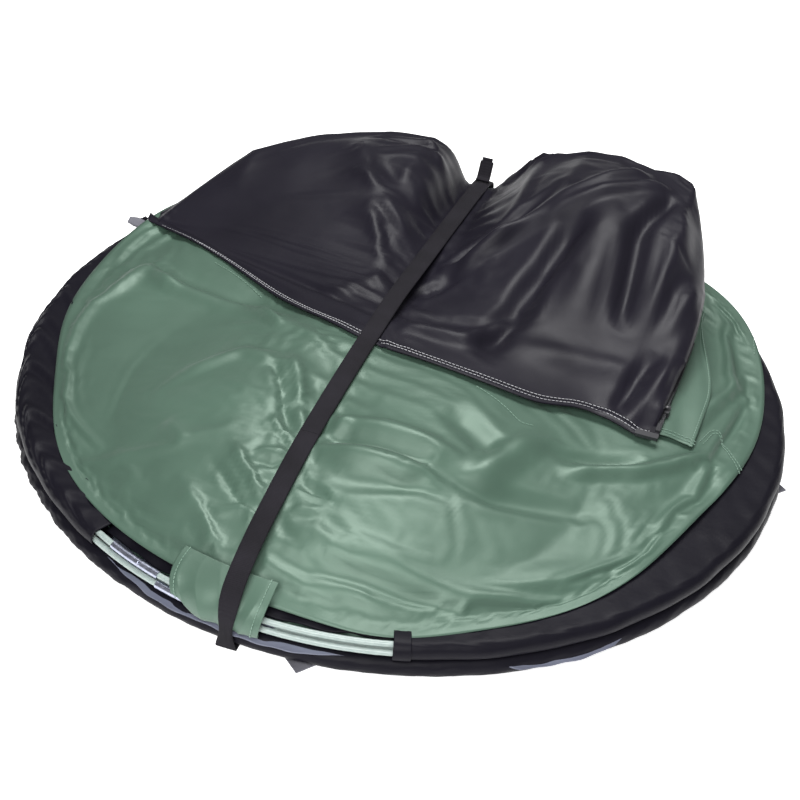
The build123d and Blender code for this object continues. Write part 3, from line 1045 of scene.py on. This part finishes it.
def small_domes(name, places, radius):
    shape = bmesh.new()
    for place in places:
        made = bmesh.ops.create_icosphere(shape, subdivisions=2, radius=radius)
        bmesh.ops.translate(shape, verts=made["verts"], vec=place)
    mesh = bpy.data.meshes.new(name)
    shape.to_mesh(mesh)
    shape.free()
    mesh.shade_smooth()
    piece = bpy.data.objects.new(name, mesh)
    bpy.context.scene.collection.objects.link(piece)
    return piece


# ---- sleeves ----


def ring_tube(name, start, end, steps, around, section, closed=False):
    """A tube about +Z.  section(theta, phi) gives radius and height, phi running round the tube."""
    theta = np.radians(np.linspace(start, end, steps, endpoint=not closed))[:, None]
    phi = np.linspace(0, TAU, around, endpoint=False)[None, :]
    r, z = section(theta + 0 * phi, phi + 0 * theta)
    x, y = r * np.cos(theta), r * np.sin(theta)
    vertices = np.stack([x.ravel(), y.ravel(), z.ravel()], 1)
    piece = new_piece(name, vertices, grid_faces(steps, around, wrap_rows=closed, wrap_columns=True))
    out_facing(piece)
    return piece


def out_facing(piece):
    shape = bmesh.new()
    shape.from_mesh(piece.data)
    bmesh.ops.recalc_face_normals(shape, faces=shape.faces)
    shape.to_mesh(piece.data)
    shape.free()
    piece.data.shade_smooth()


def ripple(theta, terms):
    """A sum of waves round the pack: each is (waves in a full turn, height, phase)."""
    return sum(height * np.sin(count * theta + phase) for count, height, phase in terms)


def upper_section(theta, phi):
    """Round the rods on the outside, flattened into a flap on the inside."""
    loose = near_angle(theta, 205, 38)
    c, s = np.cos(phi), np.sin(phi)
    inner = np.clip(-c, 0, 1)
    outer = np.clip(c, 0, 1)
    wide = SLEEVE_R - 0.0004 + 0.0012 * ripple(theta, [(23, 0.5, 0.3), (41, 0.3, 1.0)])
    flap = 0.0235 + 0.012 * near_angle(theta, 343, 32) + 0.006 * near_angle(theta, 203, 20)
    fold = 0.003 * near_angle(theta, 213, 9) + 0.0015 * near_angle(theta, 192, 6) + 0.0015 * near_angle(
        theta, 230, 5
    )
    r = HOOP_R + c * wide - flap * inner**1.3 + fold * outer
    high = SLEEVE_R - 0.0002 + 0.0015 * loose
    z = UPPER_Z + s * high + (1 - np.abs(s)) * inner * (0.9 * high + 0.0035)
    wrinkle = ripple(theta + 0.3 * s, [(57, 0.0006, 0.0), (91, 0.0004, 2.0)]) * (0.4 + 2.2 * loose)
    z = z + wrinkle * np.clip(s, -0.1, 1)
    return r, np.maximum(z, LOWER_HIGH.z + 0.0003)


def lower_section(theta, phi):
    c, s = np.cos(phi), np.sin(phi)
    loose = near_angle(theta, 215, 30)
    wide = SLEEVE_R + 0.0008 * ripple(theta, [(17, 0.5, 0.0), (31, 0.4, 1.3), (53, 0.25, 0.4)])
    r = HOOP_R + c * (wide + 0.003 * loose * np.clip(c, 0, 1))
    z = LOWER_Z + s * (SLEEVE_R - 0.0003)
    seam = 0.0009 * np.exp(-(((phi - 5.6) / 0.09) ** 2))
    wrinkle = ripple(theta + 0.4 * s, [(73, 0.0004, 0.0), (117, 0.0003, 2.0)]) * (0.5 + 2 * loose)
    return r + seam + wrinkle * np.clip(c, 0, 1), z


class TENT_OT_sleeves(bpy.types.Operator):
    """Black cloth sleeves round the two hoops"""

    bl_idname = "tent.sleeves"
    bl_label = "Sleeves"

    def execute(self, context):
        upper = ring_tube("upper_sleeve_cloth", 289.0, 601.0, 900, 40, upper_section)
        thicken(upper, 0.0007, offset=-1)
        lower = ring_tube("lower_sleeve_cloth", 0.0, 360.0, 960, 32, lower_section, closed=True)
        thicken(lower, 0.0007, offset=-1)
        for piece, body, stands_for in (
            (upper, "upper_leaf", "upper_sleeve"), (lower, "root", "lower_sleeve")
        ):
            paint(piece, "sleeve")
            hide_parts(stands_for)
            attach(piece, body)
        return {"FINISHED"}


class TENT_OT_groundsheet(bpy.types.Operator):
    """Grey groundsheet under the pack, with its edge showing between the hoops"""

    bl_idname = "tent.groundsheet"
    bl_label = "Groundsheet"

    def execute(self, context):
        rows, columns = 40, 720
        theta = np.linspace(0, TAU, columns, endpoint=False)[None, :]
        t = np.linspace(0, 1, rows)[:, None]
        front = near_angle(theta, 263, 21)
        drape = near_angle(theta, 311, 11)
        reach = 0.384 + 0.0175 * np.clip(front * 1.3, 0, 1) + 0.0185 * np.clip(drape * 1.5, 0, 1)
        reach = reach + ripple(theta, [(37, 0.0006, 0.0), (83, 0.0005, 1.0)]) * (front + drape)
        r = 0.352 + t * (reach - 0.352)
        lip = smooth(HOOP_R, HOOP_R + 0.012, r)
        z = LOWER_HIGH.z - 0.0006 - 0.0005 * (1 - t) + 0 * theta
        bulge = ripple(theta, [(29, 0.0006, 0.5), (61, 0.0006, 0.0)]) * lip * front
        z = z + bulge - lip * (0.0035 * front + 0.012 * drape * t)
        x, y = r * np.cos(theta), r * np.sin(theta)
        vertices = np.stack([x.ravel(), y.ravel(), z.ravel()], 1)
        lip_piece = new_piece("groundsheet_edge", vertices, grid_faces(rows, columns, wrap_columns=True))
        thicken(lip_piece, 0.0006)
        floor_z = CAD_LOW.z
        x, y = disc_points(0.378, 61)
        wavy = 0.0005 * (1 + np.sin(31 * x + 11 * y) * np.cos(23 * y))
        strap = np.abs(x - STRAP_X) < 0.0145
        z = floor_z + 0.0003 + wavy + 0.0016 * strap
        base = new_piece("groundsheet_cloth", *surface_from(x, y, z))
        thicken(base, 0.0008, offset=1)
        for piece in (lip_piece, base):
            paint(piece, "ground")
            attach(piece, "root")
        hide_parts("groundsheet")
        return {"FINISHED"}


def disc_points(radius, count):
    u, v = np.meshgrid(np.linspace(-1, 1, count), np.linspace(-1, 1, count), indexing="ij")
    return u * np.sqrt(1 - v * v / 2) * radius, v * np.sqrt(1 - u * u / 2) * radius


def folds_pattern(x, y, seed):
    """Low folds that cross each other, for cloth that lies in layers."""
    rng = np.random.default_rng(seed)
    z = 0 * x
    for _ in range(9):
        angle, place, width = rng.uniform(0, math.pi), rng.uniform(-0.25, 0.25), rng.uniform(0.004, 0.012)
        across = x * math.cos(angle) + y * math.sin(angle) - place + 0.02 * np.sin(9 * (x - y) + place * 40)
        z = z + np.tanh(across / width) * rng.uniform(-0.5, 0.5)
    return z


class TENT_OT_inside(bpy.types.Operator):
    """Folded layers between the hoops, and the cloth wall that joins the two halves"""

    bl_idname = "tent.inside"
    bl_label = "Folded layers"

    def execute(self, context):
        x, y = disc_points(0.366, 121)
        top = LOWER_HIGH.z - 0.0045 + 0.0008 * folds_pattern(x, y, 4)
        layers = new_piece("folded_layers", *surface_from(x, y, top))
        thicken(layers, 0.014, offset=-1)
        paint(layers, "inner")
        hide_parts("folded_inner_layers")
        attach(layers, "root")

        x, y = disc_points(0.368, 121)
        under = new_piece(
            "canopy_underlayer", *surface_from(x, y, LOWER_HIGH.z + 0.005 + 0.0010 * folds_pattern(x, y, 9))
        )
        thicken(under, 0.0006)
        paint(under, "canopy")
        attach(under, "upper_leaf")

        rows, columns = 26, 720
        theta = np.linspace(0, TAU, columns, endpoint=False)[None, :]
        t = np.linspace(0, 1, rows)[:, None]
        r = 0.3715 + 0.0022 * np.sin(72 * theta + 1.2 * np.sin(5 * theta)) * np.sin(
            math.pi * (0.15 + 0.7 * t)
        )
        low, high = LOWER_HIGH.z - 0.0015, LOWER_HIGH.z + 0.0055
        z = low + (high - low) * t + 0 * theta
        vertices = np.stack([(r * np.cos(theta)).ravel(), (r * np.sin(theta)).ravel(), z.ravel()], 1)
        wall = new_piece("joining_wall", vertices, grid_faces(rows, columns, wrap_columns=True))
        out_facing(wall)
        thicken(wall, 0.0006)
        paint(wall, "canopy")
        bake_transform(wall)
        return {"FINISHED"}


# ---- webbing ----


def band(name, line, half_width, thickness, x=0.0, bow=0.0, steps=None):
    """Webbing along a line of (y, z) points.  half_width is a number or a function of y and z."""
    line = curve_through(line, steps or 12 * len(line))
    run = np.gradient(line, axis=0)
    run = run / np.linalg.norm(run, axis=1)[:, None]
    side = np.stack([-run[:, 1], run[:, 0]], 1)
    across = np.array([-1, -0.94, -0.6, -0.2, 0.2, 0.6, 0.94, 1, 1, 0.94, 0.6, 0.2, -0.2, -0.6, -0.94, -1])
    level = np.array([0.3, 0, 0, 0, 0, 0, 0, 0.3, 0.7, 1, 1, 1, 1, 1, 1, 0.7])
    edge = np.where(np.abs(across) > 0.9, 0.0001, 0)
    vertices = []
    for (py, pz), (ny, nz) in zip(line, side):
        half = half_width(py, pz) if callable(half_width) else half_width
        arch = bow * (1 - across**2)
        lift = level * thickness + arch + np.where(level > 0.5, edge, -edge)
        vertices.append(np.stack([x + across * half, py + ny * lift, pz + nz * lift], 1))
    around, rows = len(across), len(line)
    faces = grid_faces(rows, around, wrap_columns=True)
    faces += [tuple(range(around)), tuple((rows - 1) * around + k for k in reversed(range(around)))]
    piece = new_piece(name, np.vstack(vertices), faces)
    out_facing(piece)
    return piece


def strap_half_width(y, z):
    """The strap is pinched where it turns under the front of the pack."""
    pinch = float((1 - smooth(0.012, 0.060, z)) * smooth(0.000, 0.030, z)) if y < -0.3 else 0.0
    return STRAP_HALF * (1 - 0.48 * pinch)


class TENT_OT_strap(bpy.types.Operator):
    """Webbing strap round the pack, its end tab and its patches"""

    bl_idname = "tent.strap"
    bl_label = "Strap"

    def execute(self, context):
        line = curve_through(STRAP_LINE, 400)
        split = int(np.argmin(np.abs(line[:, 0] + 0.20)))
        front = band(
            "strap_front", line[: split + 1][::4], strap_half_width, STRAP_THICKNESS, STRAP_X, 0.0006, 240
        )
        rear = band(
            "strap_rear", line[split:][::4], strap_half_width, STRAP_THICKNESS, STRAP_X, 0.0006, 300
        )
        end = [(0.3865, 0.0560), (0.3930, 0.0600), (0.4010, 0.0740), (0.4035, 0.0800)]
        tab = band("strap_end_tab", end, tab_half_width, 0.0042, STRAP_X, 0.0004, 40)
        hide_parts("strap_front_turn", "strap_mid_run")
        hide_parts("strap_rear_run")
        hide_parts("strap_pull_tab")
        for piece in (front, rear, tab):
            paint(piece, "strap")
        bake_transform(front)
        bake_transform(rear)
        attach(tab, "strap_rear")
        paint_node("strap_under_run", "strap")
        paint_node("strap_loop_patch", "pile")
        paint_node("strap_hook_patch", "pile")
        return {"FINISHED"}


def tab_half_width(y, z):
    return STRAP_HALF * (0.80 if z < 0.076 else 0.62)


# ---- the tab and the cuff round the rods ----


class TENT_OT_rod_tab(bpy.types.Operator):
    """Green tab gathered round the rods by the strap, and the black cuff where the rods go in"""

    bl_idname = "tent.rod_tab"
    bl_label = "Rod tab and cuff"

    def execute(self, context):
        rows, columns = 90, 60
        u = np.linspace(0, 1, rows)[:, None]
        v = np.linspace(0, 1, columns)[None, :]
        degrees = 254.6 + 15.4 * u
        over = np.array(
            [
                (0.3650, 0.0640),
                (0.3760, 0.0590),
                (0.3900, 0.0515),
                (0.3985, 0.0430),
                (0.4030, 0.0330),
                (0.4020, 0.0240),
                (0.3960, 0.0212),
            ]
        )
        profile = curve_through(over, columns)
        pull = np.exp(-(((u - 0.665) / 0.16) ** 2))
        left_rise = 0.30 * (1 - smooth(0.0, 0.5, u))
        w = v * (1 - left_rise)
        r = np.interp(w.ravel(), np.linspace(0, 1, columns), profile[:, 0]).reshape(rows, columns)
        z = np.interp(w.ravel(), np.linspace(0, 1, columns), profile[:, 1]).reshape(rows, columns)
        degrees = degrees - (u - 0.665) * 6.5 * v**2 * (0.4 + 0.6 * pull)
        folds = 0.6 - 1.6 * np.abs(np.sin(19 * u + 1.6 * np.sin(5 * u + 2.4 * v))) ** 0.7
        folds = folds * (0.15 + v) * (0.25 + pull)
        waves = np.sin(15 * u + 2.0 * v + 0.6) * 0.0013
        puff = 0.0030 * np.sin(math.pi * v) * (1 - 0.8 * pull)
        out = 0.0026 * folds + waves * v + puff
        lean = np.interp(w.ravel(), np.linspace(0, 1, columns), np.linspace(0.35, 1.0, columns)).reshape(
            rows, columns
        )
        r = r + out * lean
        z = z + out * (1 - 0.8 * lean)
        turn = np.radians(degrees + 0 * v)
        x, y = r * np.cos(turn), r * np.sin(turn)
        tab = new_piece(
            "rod_tab_cloth", np.stack([x.ravel(), y.ravel(), z.ravel()], 1), grid_faces(rows, columns)
        )
        seams = [edge_row(x, y, z, k) for k in (5, rows - 7)]
        thicken(tab, 0.0007, offset=1)
        paint(tab, "canopy")
        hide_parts("rod_tab")
        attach(tab, "upper_leaf")
        stitches = stitch_rows(
            "rod_tab_stitches", seams, "pale_green_thread", radius=0.0004, pitch=0.0034, length=0.0026
        )
        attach(stitches, "upper_leaf")

        rows, columns = 60, 14
        turn = np.radians(np.linspace(240.5, 290.0, rows))[:, None]
        t = np.linspace(0, 1, columns)[None, :]
        r = 0.352 + 0.0275 * t + 0.0010 * np.sin(40 * turn + 3 * t)
        z = 0.0400 - 0.0075 * t**2 + 0.0012 * np.sin(55 * turn + 2 * t)
        lining = new_piece("window_cloth", *surface_from(r * np.cos(turn), r * np.sin(turn), z))
        thicken(lining, 0.0006)
        paint(lining, "sleeve")
        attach(lining, "upper_leaf")

        cuff = ring_tube("rod_cuff_cloth", 287.1, 289.5, 20, 32, cuff_section)
        thicken(cuff, 0.0010, offset=1)
        paint(cuff, "sleeve")
        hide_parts("rod_cuff")
        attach(cuff, "upper_leaf")
        return {"FINISHED"}


def edge_row(x, y, z, row):
    place = np.stack([x[row], y[row], z[row]], 1)
    out = place / np.linalg.norm(place, axis=1)[:, None]
    return [tuple(p) for p in place + out * 0.0009]


def cuff_section(theta, phi):
    c, s = np.cos(phi), np.sin(phi)
    inner = np.clip(-c, 0, 1)
    r = HOOP_R + c * (SLEEVE_R + 0.0005) - 0.012 * inner**1.3
    z = UPPER_Z + s * (SLEEVE_R + 0.0002) + 0.002 * inner
    return r, np.maximum(z, LOWER_HIGH.z + 0.0003)


# ---- the zip, its flap, the seams and the loops ----


class TENT_OT_zip(bpy.types.Operator):
    """Finishes of the zip, its coil's turns and the green flap beside it"""

    bl_idname = "tent.zip"
    bl_label = "Zip and storm flap"

    def execute(self, context):
        for name, finish in (
            ("zip_tape", "zip_tape"),
            ("zip_coil", "zip_plastic"),
            ("zip_end_stop", "zip_plastic"),
            ("zip_slider", "zip_metal"),
            ("zip_pull", "zip_metal"),
        ):
            paint_node(name, finish)
        low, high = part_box("zip_coil")
        middle = (low.x + high.x) / 2
        path = [(middle, y, high.z) for y in np.linspace(low.y + 0.001, high.y - 0.001, 80)]
        turns = stitch_rows(
            "zip_coil_turns", [path], "zip_plastic", 0.0005, 0.0014, high.x - low.x - 0.0002, (1e6, 0, 0)
        )
        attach(turns, "door_wing")

        rows, columns = 30, 110
        u = np.linspace(0, 1, rows)[:, None]
        v = np.linspace(0, 1, columns)[None, :]
        y = -0.016 + 0.250 * v + 0.004 * np.sin(3 * u)
        right = 0.3085 - 0.040 * smooth(0.3, 1.0, v)
        x = 0.2655 + (right - 0.2655) * u
        z = canopy_height(x, y) + 0.0030 + 0.0012 * np.sin(
            31 * y + 8 * u
        ) * u + 0.0050 * u**3 * np.sin(math.pi * v) ** 2
        z = np.where(y < 0.152, z, z + 0.004 * smooth(0.152, 0.20, y) * (1 - u))
        flap = new_piece("storm_flap_cloth", *surface_from(x, y, z))
        seams = [np.stack([x[:, k], y[:, k], z[:, k] + 0.0009], 1) for k in (2, 4)]
        seams += [np.stack([x[-k], y[-k], z[-k] + 0.0009], 1) for k in (3,)]
        thicken(flap, 0.0007, offset=0)
        paint(flap, "canopy")
        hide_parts("storm_flap")
        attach(flap, "upper_leaf")
        stitches = stitch_rows("storm_flap_stitches", seams, "pale_green_thread")
        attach(stitches, "upper_leaf")
        return {"FINISHED"}


SEAM_PLANS = (
    ((0.313, 0.006), (0.322, 0.030), (0.340, 0.014), (0.361, -0.010)),
    ((0.317, 0.002), (0.325, 0.024), (0.342, 0.008), (0.360, -0.016)),
    ((0.334, 0.190), (0.322, 0.235), (0.300, 0.262)),
    ((0.090, -0.052), (0.118, -0.062), (0.142, -0.076), (0.154, -0.074)),
    ((-0.250, 0.085), (-0.215, 0.066), (-0.180, 0.042)),
)


class TENT_OT_seams(bpy.types.Operator):
    """Sewn seams of the canopy"""

    bl_idname = "tent.seams"
    bl_label = "Canopy seams"

    def execute(self, context):
        canopy = bpy.data.objects["canopy_cloth"]
        rows = [on_surface(canopy, curve_through(plan, 40), 0.0006) for plan in SEAM_PLANS]
        stitches = stitch_rows(
            "canopy_seam_stitches", [row for row in rows if len(row) > 3], "pale_green_thread"
        )
        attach(stitches, "upper_leaf")
        return {"FINISHED"}


class TENT_OT_loops(bpy.types.Operator):
    """Grey webbing: the peg loops and the tab at the end of the door's hem"""

    bl_idname = "tent.loops"
    bl_label = "Webbing loops"

    def execute(self, context):
        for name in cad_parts:
            if name.startswith("peg_loop"):
                paint_node(name, "grey_webbing")
        low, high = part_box("hem_webbing_tab")
        middle = (low + high) / 2
        rows, columns = 16, 9
        u = np.linspace(0, 1, rows)[:, None]
        v = np.linspace(-1, 1, columns)[None, :]
        x = low.x + (high.x - low.x) * u + 0 * v
        y = middle.y + 0.0072 * v * (0.55 + 0.45 * smooth(0.0, 0.4, u)) - 0.004 * (u - 0.5)
        z = middle.z + 0.0010 + 0.0016 * np.sin(2.5 * u + 0.8 * v) * (1 - u)
        piece = new_piece("hem_tab_webbing", *surface_from(x, y, z))
        thicken(piece, 0.0026, offset=0)
        paint(piece, "grey_webbing")
        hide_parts("hem_webbing_tab")
        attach(piece, "upper_leaf")
        return {"FINISHED"}


# ---- the add-on ----

SETTINGS = {"tent_cloth": TentCloth, "tent_stitching": TentStitching, "tent_stage": TentStage}
OPERATORS = (
    TENT_OT_stage,
    TENT_OT_canopy,
    TENT_OT_door,
    TENT_OT_rods,
    TENT_OT_sleeves,
    TENT_OT_groundsheet,
    TENT_OT_inside,
    TENT_OT_strap,
    TENT_OT_rod_tab,
    TENT_OT_zip,
    TENT_OT_seams,
    TENT_OT_loops,
)


class TENT_PT_panel(bpy.types.Panel):
    bl_label = "Folded tent"
    bl_idname = "TENT_PT_panel"
    bl_space_type = "VIEW_3D"
    bl_region_type = "UI"
    bl_category = "Tent"

    def draw(self, context):
        for group in SETTINGS:
            box = self.layout.box()
            settings = getattr(context.scene, group)
            for name in settings.__annotations__:
                box.prop(settings, name)
        for operator in OPERATORS:
            self.layout.operator(operator.bl_idname)


def register():
    for group in SETTINGS.values():
        bpy.utils.register_class(group)
    for name, group in SETTINGS.items():
        setattr(bpy.types.Scene, name, PointerProperty(type=group))
    for operator in OPERATORS:
        bpy.utils.register_class(operator)
    bpy.utils.register_class(TENT_PT_panel)


def unregister():
    bpy.utils.unregister_class(TENT_PT_panel)
    for operator in reversed(OPERATORS):
        bpy.utils.unregister_class(operator)
    for name in SETTINGS:
        delattr(bpy.types.Scene, name)
    for group in reversed(list(SETTINGS.values())):
        bpy.utils.unregister_class(group)


def main():
    register()
    for operator in OPERATORS:
        area, name = operator.bl_idname.split(".")
        getattr(getattr(bpy.ops, area), name)()


if __name__ == "__main__":
    main()
